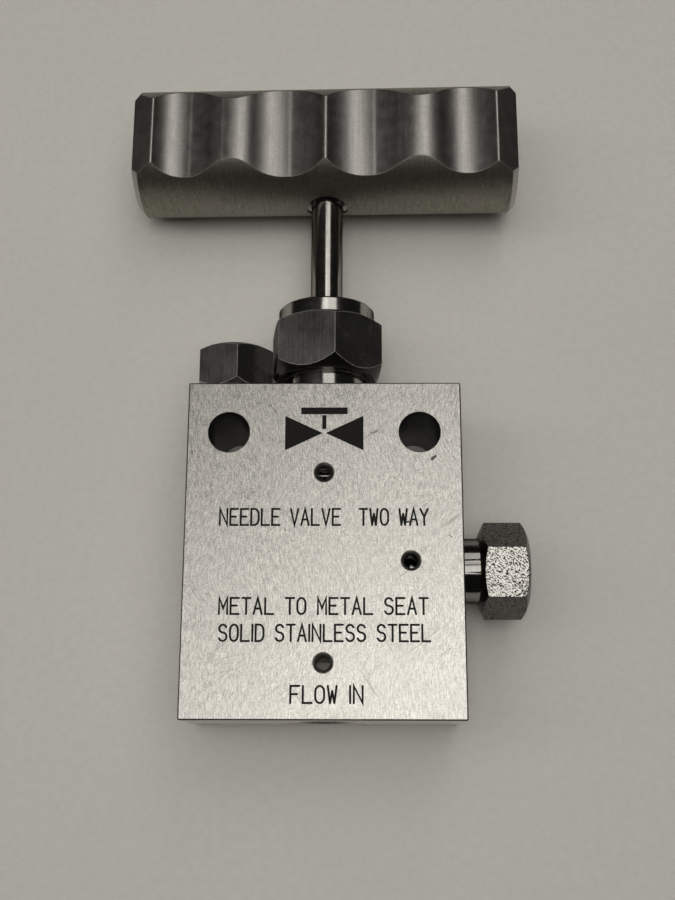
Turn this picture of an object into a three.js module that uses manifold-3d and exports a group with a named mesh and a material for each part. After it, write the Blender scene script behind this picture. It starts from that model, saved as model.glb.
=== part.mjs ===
// Needle valve: a block body with a T-bar handle, a non-rotating needle and a cone-and-thread outlet.
// Millimetres. The valve lies on its back, the face that its two mounting holes bolt down:
// +Z points out of the front face, +Y runs along the stem towards the handle, +X points to the outlet.
// The origin is the middle of the block's back face. The valve is closed.

import * as THREE from "three";
import { mergeVertices } from "three/addons/utils/BufferGeometryUtils.js";
import Module from "manifold-3d";

const wasm = await Module();
wasm.setup();

// ---- driving dimensions ----

const BLOCK = { width: 65.9, height: 80, depth: 31.75, edge: 0.5, corner: 1 };
const STEM_Z = BLOCK.depth / 2;
const OUTLET_Y = -3.57;

const MOUNT_HOLE = { x: 22.9, y: 27.55, radius: 5 };
const WEEP_HOLE = { radius: 1.6, rim: 2.35 };

const PORT = { thread: 9, mouth: 9.6, coneMouth: 6.3, passage: 1.6, coneDepth: 8.14 };
const INLET_FLOOR_Y = -25.2;
const OUTLET_FLOOR_X = 18.5;

const PACKING_BORE = { gland: 10.3, glandFloor: 16, packing: 7, packingFloor: 2 };
const SEAT_BORE = { radius: 5.4, floor: -12.8 };

const GLAND = { corner: 15.2, turn: 9.45, neck: 10.15, nose: 6.7, collar: 12.36 };
const LOCK = { x: -23.3, corner: 10.75, turn: 7.4, shank: 5 };
const OUTLET_GLAND = { corner: 11.92, turn: -80.2, neck: 7.97, thread: 8.8, tubeBore: 4.95 };

const ROD = 4.15;
const DRIVE_THREAD = 6.9;
const NEEDLE = 3.1;
const NEEDLE_HEAD = 4.9;

const BAR = { radius: 16.58, left: -50.7, right: 50.05, chamfer: 1.5, y: 110.47, turn: 1.32 };

// The bar's finger scallops, as arcs in a plane square to the stem.
// "depth" is a distance from the bar's own axis towards its front or its back.
const INNER_VALLEY = { x: 10.6, depth: 10.8, radius: 18 };
const OUTER_VALLEY = { x: 37, depth: 11, radius: 13.5 };
const CREST_RADIUS = 12.7;
const END_RIDGE = { left: -45.4, right: 44.6 };
const END_SLOPE = 0.5;

const RUNNING_CLEARANCE = 0.05;
const SEGMENTS = 40;
const HOLE_SEGMENTS = 24;
const ARC_STEPS = 6;
const OVERSHOOT = 1;
const MERGE_DISTANCE = 1e-4;

const radians = THREE.MathUtils.degToRad;

// ---- materials ----

function metal(color, roughness) {
  return new THREE.MeshStandardMaterial({ color, roughness, metalness: 1 });
}

const brushedSteel = metal(0xb9b4ab, 0.38);
const handleSteel = metal(0x7d7a72, 0.4);
const glandSteel = metal(0x5c5954, 0.3);
const polishedSteel = metal(0xa7a49e, 0.15);
const blackSteel = metal(0x2b2a29, 0.5);
const bronze = metal(0x9a7340, 0.35);
const packingPlastic = new THREE.MeshStandardMaterial({ color: 0xe6e2d8, roughness: 0.6, metalness: 0 });

// ---- solids ----

// A closed three.js geometry as a manifold-3d solid with its faces pointing out.
function solidOf(geometry) {
  const bare = geometry.clone();
  bare.deleteAttribute("normal");
  bare.deleteAttribute("uv");
  const merged = mergeVertices(bare, MERGE_DISTANCE);
  const triangles = [];
  for (let i = 0; i < merged.index.count; i += 3) {
    const [a, b, c] = [merged.index.getX(i), merged.index.getX(i + 1), merged.index.getX(i + 2)];
    if (a !== b && b !== c && c !== a) triangles.push([a, b, c]);
  }
  const build = (list) =>
    new wasm.Manifold(
      new wasm.Mesh({
        numProp: 3,
        vertProperties: merged.attributes.position.array,
        triVerts: new Uint32Array(list.flat()),
      }),
    );
  const made = build(triangles);
  return made.volume() > 0 ? made : build(triangles.map(([a, b, c]) => [a, c, b]));
}

function geometryOf(solid) {
  const mesh = solid.getMesh();
  const geometry = new THREE.BufferGeometry();
  geometry.setAttribute("position", new THREE.BufferAttribute(mesh.vertProperties, 3));
  geometry.setIndex(new THREE.BufferAttribute(mesh.triVerts, 1));
  geometry.computeVertexNormals();
  return geometry;
}

// A turned shape round the Y axis. Each profile point is [radius, place along the axis].
function turned(profile, segments = SEGMENTS) {
  const points = profile.map(([radius, along]) => new THREE.Vector2(radius, along));
  return new THREE.LatheGeometry(points, segments);
}

function turnedSolid(profile, segments) {
  return solidOf(turned(profile, segments));
}

// A plain ring or tube, as a profile that closes on itself.
function ringProfile(inner, outer, from, to) {
  return [
    [inner, from],
    [outer, from],
    [outer, to],
    [inner, to],
    [inner, from],
  ];
}

// The bore that a round part of this radius runs in: the flats of the faceted bore still clear it.
function runningBore(radius) {
  return (radius + RUNNING_CLEARANCE) / Math.cos(Math.PI / SEGMENTS);
}

// A hexagon along Y with its corners turned off at both ends.
// low and high give the end face's radius and place, and the place where its chamfer meets the corners.
function chamferedHex(corner, turn, low, high) {
  const chamferAt = (end) => {
    const slope = (end.cornerAt - end.at) / (corner - end.face);
    return [corner + OVERSHOOT, end.cornerAt + slope * OVERSHOOT];
  };
  const height = high.at - low.at;
  const prism = new THREE.CylinderGeometry(corner, corner, height, 6);
  prism.rotateY(radians(turn));
  prism.translate(0, (low.at + high.at) / 2, 0);
  const envelope = turnedSolid([
    [0, low.at],
    [low.face, low.at],
    chamferAt(low),
    chamferAt(high),
    [high.face, high.at],
    [0, high.at],
  ]);
  return solidOf(prism).intersect(envelope);
}

// ---- the block ----

function roundedRectangle(width, height, radius) {
  const [x, y] = [width / 2 - radius, height / 2 - radius];
  const shape = new THREE.Shape();
  shape.absarc(x, y, radius, 0, Math.PI / 2);
  shape.absarc(-x, y, radius, Math.PI / 2, Math.PI);
  shape.absarc(-x, -y, radius, Math.PI, 1.5 * Math.PI);
  shape.absarc(x, -y, radius, 1.5 * Math.PI, 2 * Math.PI);
  return shape;
}

// A straight hole through or into the block, square to its front face.
function frontHole(x, y, profile) {
  const hole = turned(profile, HOLE_SEGMENTS);
  hole.rotateX(Math.PI / 2);
  hole.translate(x, y, 0);
  return solidOf(hole);
}

function weepHole(x, y) {
  const chamfer = WEEP_HOLE.rim - WEEP_HOLE.radius;
  return frontHole(x, y, [
    [0, STEM_Z + PORT.passage],
    [WEEP_HOLE.radius, STEM_Z + PORT.passage],
    [WEEP_HOLE.radius, BLOCK.depth - chamfer],
    [WEEP_HOLE.rim + OVERSHOOT, BLOCK.depth + OVERSHOOT],
    [0, BLOCK.depth + OVERSHOOT],
  ]);
}

// The stepped bore down the stem line: gland thread, packing, seat, passage, then the inlet's cone and thread.
function stemBore() {
  const top = BLOCK.height / 2;
  const chamfer = PORT.mouth - PORT.thread;
  const bore = turned([
    [0, top + OVERSHOOT],
    [PACKING_BORE.gland + chamfer, top + OVERSHOOT],
    [PACKING_BORE.gland + chamfer, top],
    [PACKING_BORE.gland, top - chamfer],
    [PACKING_BORE.gland, PACKING_BORE.glandFloor],
    [PACKING_BORE.packing, PACKING_BORE.glandFloor],
    [PACKING_BORE.packing, PACKING_BORE.packingFloor],
    [SEAT_BORE.radius, PACKING_BORE.packingFloor],
    [SEAT_BORE.radius, SEAT_BORE.floor],
    [PORT.passage, SEAT_BORE.floor],
    [PORT.passage, INLET_FLOOR_Y + PORT.coneDepth],
    [PORT.coneMouth, INLET_FLOOR_Y],
    [PORT.thread, INLET_FLOOR_Y],
    [PORT.thread, -top + chamfer],
    [PORT.mouth, -top],
    [PORT.mouth, -top - OVERSHOOT],
    [0, -top - OVERSHOOT],
  ]);
  bore.translate(0, 0, STEM_Z);
  return solidOf(bore);
}

function outletBore() {
  const side = BLOCK.width / 2;
  const chamfer = PORT.mouth - PORT.thread;
  const bore = turned([
    [0, side + OVERSHOOT],
    [PORT.mouth, side + OVERSHOOT],
    [PORT.mouth, side],
    [PORT.thread, side - chamfer],
    [PORT.thread, OUTLET_FLOOR_X],
    [PORT.coneMouth, OUTLET_FLOOR_X],
    [PORT.passage, OUTLET_FLOOR_X - PORT.coneDepth],
    [PORT.passage, SEAT_BORE.radius - OVERSHOOT],
    [0, SEAT_BORE.radius - OVERSHOOT],
  ]);
  bore.rotateZ(-Math.PI / 2);
  bore.translate(0, OUTLET_Y, STEM_Z);
  return solidOf(bore);
}

function lockScrewHole() {
  const top = BLOCK.height / 2;
  const depth = 6;
  const hole = turned(
    [
      [0, top - depth],
      [LOCK.shank + 0.2, top - depth],
      [LOCK.shank + 0.2, top + OVERSHOOT],
      [0, top + OVERSHOOT],
    ],
    HOLE_SEGMENTS,
  );
  hole.translate(LOCK.x, 0, STEM_Z);
  return solidOf(hole);
}

function makeValveBody() {
  const block = new THREE.ExtrudeGeometry(roundedRectangle(BLOCK.width, BLOCK.height, BLOCK.corner), {
    depth: BLOCK.depth - 2 * BLOCK.edge,
    curveSegments: 3,
    bevelThickness: BLOCK.edge,
    bevelSize: BLOCK.edge,
    bevelOffset: -BLOCK.edge,
    bevelSegments: 1,
  });
  block.translate(0, 0, BLOCK.edge);
  let body = solidOf(block);
  const mountProfile = [
    [0, -OVERSHOOT],
    [MOUNT_HOLE.radius, -OVERSHOOT],
    [MOUNT_HOLE.radius, BLOCK.depth + OVERSHOOT],
    [0, BLOCK.depth + OVERSHOOT],
  ];
  const portWeep = 1.95;
  const cuts = [
    frontHole(MOUNT_HOLE.x, MOUNT_HOLE.y, mountProfile),
    frontHole(-MOUNT_HOLE.x, MOUNT_HOLE.y, mountProfile),
    weepHole(0, PACKING_BORE.glandFloor + WEEP_HOLE.radius),
    weepHole(OUTLET_FLOOR_X + portWeep, OUTLET_Y),
    weepHole(0, INLET_FLOOR_Y - portWeep),
    stemBore(),
    outletBore(),
    lockScrewHole(),
  ];
  for (const cut of cuts) body = body.subtract(cut);
  return geometryOf(body);
}

// ---- parts on the stem line, in the order they go in ----

const SEAT_TOP = -8.3;
const SEAT_MOUTH = 3;
const SEAT_SLOPE = Math.tan(radians(30));

function makeSeat() {
  const bottom = SEAT_BORE.floor + 0.3;
  return turned([
    [PORT.passage, bottom],
    [SEAT_BORE.radius - 0.2, bottom],
    [SEAT_BORE.radius - 0.2, SEAT_TOP],
    [SEAT_MOUTH, SEAT_TOP],
    [PORT.passage, SEAT_TOP - (SEAT_MOUTH - PORT.passage) / SEAT_SLOPE],
    [PORT.passage, bottom],
  ]);
}

// A tube that screws down on the seat, with cross holes that let the flow out to the outlet.
function makeSeatRetainer() {
  const wallInside = 3.7;
  const crossHole = 1.5;
  let cage = turnedSolid(
    ringProfile(wallInside, SEAT_BORE.radius - 0.2, SEAT_TOP + 0.3, PACKING_BORE.packingFloor - 0.3),
  );
  for (const quarterTurn of [0, Math.PI / 2]) {
    const hole = new THREE.CylinderGeometry(crossHole, crossHole, 4 * SEAT_BORE.radius, HOLE_SEGMENTS);
    hole.rotateZ(Math.PI / 2);
    hole.rotateY(quarterTurn);
    hole.translate(0, OUTLET_Y, 0);
    cage = cage.subtract(solidOf(hole));
  }
  return geometryOf(cage);
}

// The non-rotating lower stem. Its point lies 0.1 mm off the seat's cone.
function makeNeedle() {
  const seatGap = 0.1;
  const tip = 0.6;
  const pointAt = (radius) => SEAT_TOP + (radius + seatGap - SEAT_MOUTH) / SEAT_SLOPE;
  return turned([
    [0, pointAt(tip)],
    [tip, pointAt(tip)],
    [NEEDLE, pointAt(NEEDLE)],
    [NEEDLE, 33],
    [NEEDLE_HEAD, 33],
    [NEEDLE_HEAD, 36],
    [0, 36],
  ]);
}

function packingPiece(from, to) {
  return turned(ringProfile(runningBore(NEEDLE), PACKING_BORE.packing - 0.3, from, to));
}

function makePackingGland() {
  const hexBottom = 45.2;
  const hexTop = 60.4;
  const top = 64.2;
  const edge = 0.5;
  const thread = turnedSolid([
    [0, 13.4],
    [GLAND.nose, 13.4],
    [GLAND.nose, 17.3],
    [GLAND.neck - edge, 17.3],
    [GLAND.neck, 17.3 + edge],
    [GLAND.neck, hexBottom + OVERSHOOT],
    [0, hexBottom + OVERSHOOT],
  ]);
  const collar = turnedSolid([
    [0, hexTop - OVERSHOOT],
    [GLAND.collar, hexTop - OVERSHOOT],
    [GLAND.collar, top - edge],
    [GLAND.collar - edge, top],
    [0, top],
  ]);
  const hex = chamferedHex(
    GLAND.corner,
    GLAND.turn,
    { face: 12.6, at: hexBottom, cornerAt: 48.4 },
    { face: GLAND.collar, at: hexTop, cornerAt: 58.8 },
  );
  const bore = turnedSolid([
    [0, 13.4 - OVERSHOOT],
    [runningBore(NEEDLE), 13.4 - OVERSHOOT],
    [runningBore(NEEDLE), 27],
    [runningBore(DRIVE_THREAD), 27],
    [runningBore(DRIVE_THREAD), 60.5],
    [runningBore(ROD), 60.5],
    [runningBore(ROD), top + OVERSHOOT],
    [0, top + OVERSHOOT],
  ]);
  return geometryOf(thread.add(hex).add(collar).subtract(bore));
}

// ---- the turning upper end ----

const DRIVE_CAVITY = { radius: 5.2, top: 37.5, mouth: 29 };

function makeDriveStem() {
  const end = 119.9;
  const edge = 0.5;
  return turned([
    [0, DRIVE_CAVITY.top],
    [DRIVE_CAVITY.radius, DRIVE_CAVITY.top],
    [DRIVE_CAVITY.radius, DRIVE_CAVITY.mouth],
    [DRIVE_THREAD, DRIVE_CAVITY.mouth],
    [DRIVE_THREAD, 54],
    [ROD, 55.5],
    [ROD, end - edge],
    [ROD - edge, end],
    [0, end],
  ]);
}

function arc(centre, radius, from, to) {
  const points = [];
  for (let step = 0; step <= ARC_STEPS; step++) {
    const angle = from + ((to - from) * step) / ARC_STEPS;
    points.push([centre.x + radius * Math.cos(angle), centre.y + radius * Math.sin(angle)]);
  }
  return points;
}

const angleTo = (from, to) => Math.atan2(to.y - from.y, to.x - from.x);

// One quarter of the bar's scalloped outline, from the middle ridge out to a ridge and an end at these distances.
function scallopQuarter(ridgeX, endX) {
  const inner = { x: INNER_VALLEY.x, y: INNER_VALLEY.depth + INNER_VALLEY.radius };
  const outer = { x: OUTER_VALLEY.x, y: OUTER_VALLEY.depth + OUTER_VALLEY.radius };
  const span = Math.hypot(outer.x - inner.x, outer.y - inner.y);
  const toInner = INNER_VALLEY.radius + CREST_RADIUS;
  const toOuter = OUTER_VALLEY.radius + CREST_RADIUS;
  const along = (toInner ** 2 - toOuter ** 2 + span ** 2) / (2 * span);
  const down = angleTo(inner, outer) - Math.acos(along / toInner);
  const crest = { x: inner.x + toInner * Math.cos(down), y: inner.y + toInner * Math.sin(down) };
  const middleAngle = -Math.PI + Math.acos(inner.x / INNER_VALLEY.radius);
  const ridgeAngle = -Math.acos((ridgeX - outer.x) / OUTER_VALLEY.radius);
  const ridgeDepth = outer.y + OUTER_VALLEY.radius * Math.sin(ridgeAngle);
  return [
    ...arc(inner, INNER_VALLEY.radius, middleAngle, angleTo(inner, crest)),
    ...arc(crest, CREST_RADIUS, angleTo(crest, inner), angleTo(crest, outer)).slice(1),
    ...arc(outer, OUTER_VALLEY.radius, angleTo(outer, crest), ridgeAngle).slice(1),
    [endX, ridgeDepth - END_SLOPE * (endX - ridgeX)],
  ];
}

function scallopOutline() {
  const left = scallopQuarter(-END_RIDGE.left, -BAR.left);
  const right = scallopQuarter(END_RIDGE.right, BAR.right);
  const front = [...left.map(([x, y]) => [-x, y]).reverse(), ...right.slice(1)];
  const back = front.map(([x, y]) => [x, -y]).reverse();
  return new THREE.Shape([...front, ...back].map(([x, y]) => new THREE.Vector2(x, y)));
}

const SET_SCREW = { radius: 3, hole: 3.15, head: -12.4, tip: -4.5, socket: 1.7 };

function makeHandle() {
  const roundBar = turned([
    [0, BAR.left],
    [BAR.radius - BAR.chamfer, BAR.left],
    [BAR.radius, BAR.left + BAR.chamfer],
    [BAR.radius, BAR.right - BAR.chamfer],
    [BAR.radius - BAR.chamfer, BAR.right],
    [0, BAR.right],
  ]);
  roundBar.rotateZ(-Math.PI / 2);
  const scallops = new THREE.ExtrudeGeometry(scallopOutline(), { depth: 4 * BAR.radius, bevelEnabled: false });
  scallops.translate(0, 0, -2 * BAR.radius);
  scallops.rotateX(-Math.PI / 2);
  const socketFloor = 120.2;
  const countersink = { radius: 5.45, depth: 1 };
  const underside = BAR.y - BAR.radius;
  const rodSocket = turnedSolid([
    [0, underside - OVERSHOOT],
    [countersink.radius + OVERSHOOT, underside - OVERSHOOT],
    [ROD + 0.2, underside + countersink.radius - ROD + countersink.depth - OVERSHOOT],
    [ROD + 0.2, socketFloor],
    [0, socketFloor],
  ]);
  const screwHole = new THREE.CylinderGeometry(SET_SCREW.hole, SET_SCREW.hole, BAR.radius, HOLE_SEGMENTS);
  screwHole.rotateX(Math.PI / 2);
  screwHole.translate(0, BAR.y, -ROD / 2 - BAR.radius / 2);
  const bar = solidOf(roundBar).intersect(solidOf(scallops)).translate([0, BAR.y, 0]);
  return geometryOf(bar.subtract(rodSocket).subtract(solidOf(screwHole)));
}

// A socket set screw in the back of the bar, with its tip on the rod.
function makeSetScrew() {
  const socketDepth = 3;
  const edge = 0.5;
  const shank = turned(
    [
      [0, SET_SCREW.head],
      [SET_SCREW.radius - edge, SET_SCREW.head],
      [SET_SCREW.radius, SET_SCREW.head + edge],
      [SET_SCREW.radius, SET_SCREW.tip - 1],
      [SET_SCREW.radius - 1, SET_SCREW.tip],
      [0, SET_SCREW.tip],
    ],
    HOLE_SEGMENTS,
  );
  const socket = new THREE.CylinderGeometry(SET_SCREW.socket, SET_SCREW.socket, 2 * socketDepth, 6);
  socket.translate(0, SET_SCREW.head, 0);
  return geometryOf(solidOf(shank).subtract(solidOf(socket)));
}

// ---- parts beside the stem line ----

function makeLockScrew() {
  const hex = chamferedHex(
    LOCK.corner,
    LOCK.turn,
    { face: 9.25, at: 42.1, cornerAt: 43.57 },
    { face: 8.8, at: 53.1, cornerAt: 51.95 },
  );
  const shank = turnedSolid(
    [
      [0, 35],
      [LOCK.shank - 0.8, 35],
      [LOCK.shank, 35.8],
      [LOCK.shank, 42.1 + OVERSHOOT],
      [0, 42.1 + OVERSHOOT],
    ],
    HOLE_SEGMENTS,
  );
  return geometryOf(hex.add(shank));
}

// The gland that clamps a tube into the outlet. Its axis is Y here; a group turns it to +X.
function makeOutletGland() {
  const nose = 21.6;
  const threadEnd = 30.5;
  const hexStart = 37.5;
  const end = 49.35;
  const edge = 0.5;
  const body = turnedSolid([
    [0, nose],
    [OUTLET_GLAND.thread - edge, nose],
    [OUTLET_GLAND.thread, nose + edge],
    [OUTLET_GLAND.thread, threadEnd - edge],
    [OUTLET_GLAND.neck, threadEnd],
    [OUTLET_GLAND.neck, hexStart + OVERSHOOT],
    [0, hexStart + OVERSHOOT],
  ]);
  const hex = chamferedHex(
    OUTLET_GLAND.corner,
    OUTLET_GLAND.turn,
    { face: 8.6, at: hexStart, cornerAt: 39.02 },
    { face: 9, at: end, cornerAt: 48.03 },
  );
  const collarRecess = { radius: 6.5, end: 27.3 };
  const bore = turnedSolid([
    [0, nose - OVERSHOOT],
    [collarRecess.radius, nose - OVERSHOOT],
    [collarRecess.radius, collarRecess.end],
    [OUTLET_GLAND.tubeBore, collarRecess.end],
    [OUTLET_GLAND.tubeBore, end - edge],
    [OUTLET_GLAND.tubeBore + edge + OVERSHOOT, end + OVERSHOOT],
    [0, end + OVERSHOOT],
  ]);
  return geometryOf(body.add(hex).subtract(bore));
}

function makeOutletCollar() {
  const [inner, outer] = [4.75, 6.2];
  return turned([
    [inner, 18.8],
    [outer - 1, 18.8],
    [outer, 20.5],
    [outer, 27],
    [inner, 27],
    [inner, 18.8],
  ]);
}

// ---- assembly ----

function piece(name, geometry, material) {
  const mesh = new THREE.Mesh(geometry, material);
  mesh.name = name;
  return mesh;
}

const valve = new THREE.Group();
valve.add(piece("valve_body", makeValveBody(), brushedSteel));

const stemLine = new THREE.Group();
stemLine.position.z = STEM_Z;
stemLine.add(
  piece("valve_seat", makeSeat(), polishedSteel),
  piece("seat_retainer", makeSeatRetainer(), glandSteel),
  piece("packing_bottom_washer", packingPiece(2.3, 3.8), bronze),
  piece("packing_ring_lower", packingPiece(4.1, 6.2), packingPlastic),
  piece("packing_ring_middle", packingPiece(6.4, 8.6), packingPlastic),
  piece("packing_ring_upper", packingPiece(8.8, 11), packingPlastic),
  piece("packing_top_washer", packingPiece(11.2, 13.2), bronze),
  piece("packing_gland", makePackingGland(), glandSteel),
  piece("needle", makeNeedle(), polishedSteel),
  piece("thrust_washer_lower", turned(ringProfile(runningBore(NEEDLE), NEEDLE_HEAD, 31.6, 32.85)), bronze),
  piece("thrust_washer_upper", turned(ringProfile(1.5, NEEDLE_HEAD, 36.15, 37.35)), bronze),
);
valve.add(stemLine);

const handle = new THREE.Group();
handle.rotation.y = radians(-BAR.turn);
const setScrew = piece("handle_set_screw", makeSetScrew(), blackSteel);
setScrew.rotation.x = Math.PI / 2;
setScrew.position.y = BAR.y;
handle.add(
  piece("drive_stem", makeDriveStem(), polishedSteel),
  piece("needle_retainer", turned(ringProfile(runningBore(NEEDLE), 5.1, 29.1, 31.4)), glandSteel),
  piece("t_handle", makeHandle(), handleSteel),
  setScrew,
);
stemLine.add(handle);

const lock = new THREE.Group();
lock.position.x = LOCK.x;
lock.add(
  piece("gland_lock_screw", makeLockScrew(), glandSteel),
  piece("gland_lock_washer", turned(ringProfile(5.3, 9, 40.2, 41.9)), glandSteel),
);
stemLine.add(lock);

const outletLine = new THREE.Group();
outletLine.position.set(0, OUTLET_Y, STEM_Z);
outletLine.rotation.z = -Math.PI / 2;
outletLine.add(
  piece("outlet_gland", makeOutletGland(), glandSteel),
  piece("outlet_collar", makeOutletCollar(), polishedSteel),
);
valve.add(outletLine);

export default valve;
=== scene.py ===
# Needle valve: the detailed visual model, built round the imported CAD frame.
import math

import bmesh
import bpy
from mathutils import Matrix, Vector


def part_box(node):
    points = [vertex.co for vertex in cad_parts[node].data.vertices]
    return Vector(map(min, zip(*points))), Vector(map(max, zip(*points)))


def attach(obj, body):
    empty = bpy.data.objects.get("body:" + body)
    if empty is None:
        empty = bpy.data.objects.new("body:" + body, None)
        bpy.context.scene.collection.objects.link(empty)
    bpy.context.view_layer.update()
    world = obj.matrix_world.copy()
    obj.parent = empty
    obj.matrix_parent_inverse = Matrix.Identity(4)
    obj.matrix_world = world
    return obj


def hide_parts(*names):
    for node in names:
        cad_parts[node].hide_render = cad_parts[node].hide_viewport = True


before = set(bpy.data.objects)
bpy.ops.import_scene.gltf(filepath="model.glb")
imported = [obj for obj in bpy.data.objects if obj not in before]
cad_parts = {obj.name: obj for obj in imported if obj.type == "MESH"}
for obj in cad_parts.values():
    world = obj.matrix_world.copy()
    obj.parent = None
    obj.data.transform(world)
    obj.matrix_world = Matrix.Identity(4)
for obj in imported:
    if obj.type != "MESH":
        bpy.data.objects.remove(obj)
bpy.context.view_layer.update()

MM = 0.001
FINE = 128  # steps round a visible turned part
COARSE = 64  # steps round a small or hidden one


# ---- places, from the frame, in millimetres

def box_mm(node):
    low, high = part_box(node)
    return Vector(low) / MM, Vector(high) / MM


BLOCK_LOW, BLOCK_HIGH = box_mm("valve_body")
STEM_LOW, STEM_HIGH = box_mm("drive_stem")
GLAND_LOW, GLAND_HIGH = box_mm("packing_gland")
LOCK_LOW, LOCK_HIGH = box_mm("gland_lock_screw")
WASHER_LOW, WASHER_HIGH = box_mm("gland_lock_washer")
COLLAR_LOW, COLLAR_HIGH = box_mm("outlet_collar")
OUTLET_LOW, OUTLET_HIGH = box_mm("outlet_gland")
BAR_LOW, BAR_HIGH = box_mm("t_handle")
SEAT_LOW, SEAT_HIGH = box_mm("valve_seat")
CAGE_LOW, CAGE_HIGH = box_mm("seat_retainer")
NEEDLE_LOW, NEEDLE_HIGH = box_mm("needle")

STEM_Z = (NEEDLE_LOW.z + NEEDLE_HIGH.z) / 2
OUTLET_Y = (COLLAR_LOW.y + COLLAR_HIGH.y) / 2
LOCK_X = (WASHER_LOW.x + WASHER_HIGH.x) / 2
BAR_Y = (BAR_LOW.y + BAR_HIGH.y) / 2
BAR_RADIUS = (BAR_HIGH.y - BAR_LOW.y) / 2
BLOCK_TOP = BLOCK_HIGH.y
FACE_Z = BLOCK_HIGH.z
HANDLE_TURN = -1.32  # degrees round the stem at rest


# ---- mesh helpers

def mesh_object(name, points, faces):
    """A new object from points in millimetres."""
    mesh = bpy.data.meshes.new(name)
    mesh.from_pydata([Vector(p) * MM for p in points], [], faces)
    made = bmesh.new()
    made.from_mesh(mesh)
    bmesh.ops.remove_doubles(made, verts=made.verts, dist=1e-7)
    bmesh.ops.recalc_face_normals(made, faces=made.faces)
    made.to_mesh(mesh)
    made.free()
    obj = bpy.data.objects.new(name, mesh)
    bpy.context.scene.collection.objects.link(obj)
    return obj


def thread_wave(phase):
    """0 at a thread's crest and 1 at its root, with both a little flattened."""
    ramp = abs(2 * (phase % 1.0) - 1)
    return min(1.0, max(0.0, 1.3 * ramp - 0.15))


def lathe(name, profile, steps=FINE, pitch=1.0):
    """A turned solid round +Y. Each profile row is (radius, along) or (radius, along, thread depth).

    The profile starts and ends on the axis, or its last row meets its first.
    """
    points, rings = [], []
    closed = tuple(profile[0]) == tuple(profile[-1])
    rows = profile[:-1] if closed else profile
    for row in rows:
        radius, along = row[0], row[1]
        depth = row[2] if len(row) > 2 else 0.0
        if radius == 0:
            rings.append([len(points)] * steps)
            points.append((0, along, 0))
            continue
        ring = []
        for step in range(steps):
            turn = step / steps
            r = radius - depth * thread_wave(along / pitch - turn)
            ring.append(len(points))
            points.append((r * math.sin(math.tau * turn), along, r * math.cos(math.tau * turn)))
        rings.append(ring)
    pairs = list(zip(rings, rings[1:]))
    if closed:
        pairs.append((rings[-1], rings[0]))
    faces = []
    for low, high in pairs:
        for step in range(steps):
            following = (step + 1) % steps
            corners = [low[step], low[following], high[following], high[step]]
            face = list(dict.fromkeys(corners))
            if len(face) > 2:
                faces.append(face)
    return mesh_object(name, points, faces)


def thread_rows(radius, start, end, pitch, depth):
    """Profile rows of a screw thread that fades in and out over its first and last turn."""
    per_turn = 8
    count = max(2, round(abs(end - start) / pitch * per_turn))
    rows = []
    for i in range(count + 1):
        share = i / count
        turns_in = min(share, 1 - share) * count / per_turn
        rows.append((radius, start + (end - start) * share, depth * min(1.0, turns_in)))
    return rows


def shifted(x, y, z):
    return Matrix.Translation(Vector((x, y, z)) * MM)


def rotated(degrees, axis):
    return Matrix.Rotation(math.radians(degrees), 4, axis)


def moved(obj, matrix):
    obj.data.transform(matrix)
    obj.data.update()
    return obj


def on_stem(obj, x=0.0):
    return moved(obj, shifted(x, 0, STEM_Z))


def on_outlet(obj):
    """Turns a part made round +Y to the outlet's axis, +X."""
    return moved(obj, shifted(0, OUTLET_Y, STEM_Z) @ rotated(-90, "Z"))


def on_front(obj, x, y):
    """Turns a part made round +Y to +Z, the way the front face looks."""
    return moved(obj, shifted(x, y, 0) @ rotated(90, "X"))


def with_handle(obj):
    """From the handle's own frame to its turn at rest."""
    return moved(obj, shifted(0, 0, STEM_Z) @ rotated(HANDLE_TURN, "Y"))


def settle(obj):
    """Applies the object's modifiers to its mesh."""
    bpy.context.view_layer.update()
    evaluated = obj.evaluated_get(bpy.context.evaluated_depsgraph_get())
    mesh = bpy.data.meshes.new_from_object(evaluated)
    obj.modifiers.clear()
    obj.data = mesh


def combine(obj, others, operation):
    """Joins to obj, cuts from it or keeps its overlap with each of the others, which are used up."""
    for other in others:
        step = obj.modifiers.new("combine", "BOOLEAN")
        step.operation = operation
        step.solver = "EXACT"
        step.material_mode = "TRANSFER"
        step.object = other
        settle(obj)
        bpy.data.objects.remove(other)
    return obj


def bevel(obj, width, segments, limit, material=None):
    """Rounds the edges sharper than limit degrees. They can have a material of their own."""
    rounding = obj.modifiers.new("edges", "BEVEL")
    rounding.width = width * MM
    rounding.segments = segments
    rounding.limit_method = "ANGLE"
    rounding.angle_limit = math.radians(limit)
    if material:
        obj.data.materials.append(MATERIALS[material])
        rounding.material = len(obj.data.materials) - 1
    settle(obj)


def smooth(obj, edge=0.0, segments=2, limit=28, edge_material=None):
    """Rounds the sharp edges by a small width in millimetres and shades the faces smoothly."""
    for polygon in obj.data.polygons:
        polygon.use_smooth = True
    if edge:
        bevel(obj, edge, segments, limit, edge_material)
    obj.data.set_sharp_from_angle(angle=math.radians(40))
    normals = obj.modifiers.new("normals", "WEIGHTED_NORMAL")
    normals.keep_sharp = True
    normals.weight = 80
    settle(obj)
    return obj


def ring_rows(inner, outer, start, end, edge=0.15):
    """A washer's or sleeve's profile with its corners broken."""
    return [
        (inner, start + edge), (inner + edge, start), (outer - edge, start),
        (outer, start + edge), (outer, end - edge), (outer - edge, end), (inner + edge, end),
        (inner, end - edge), (inner, start + edge),
    ]


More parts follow.
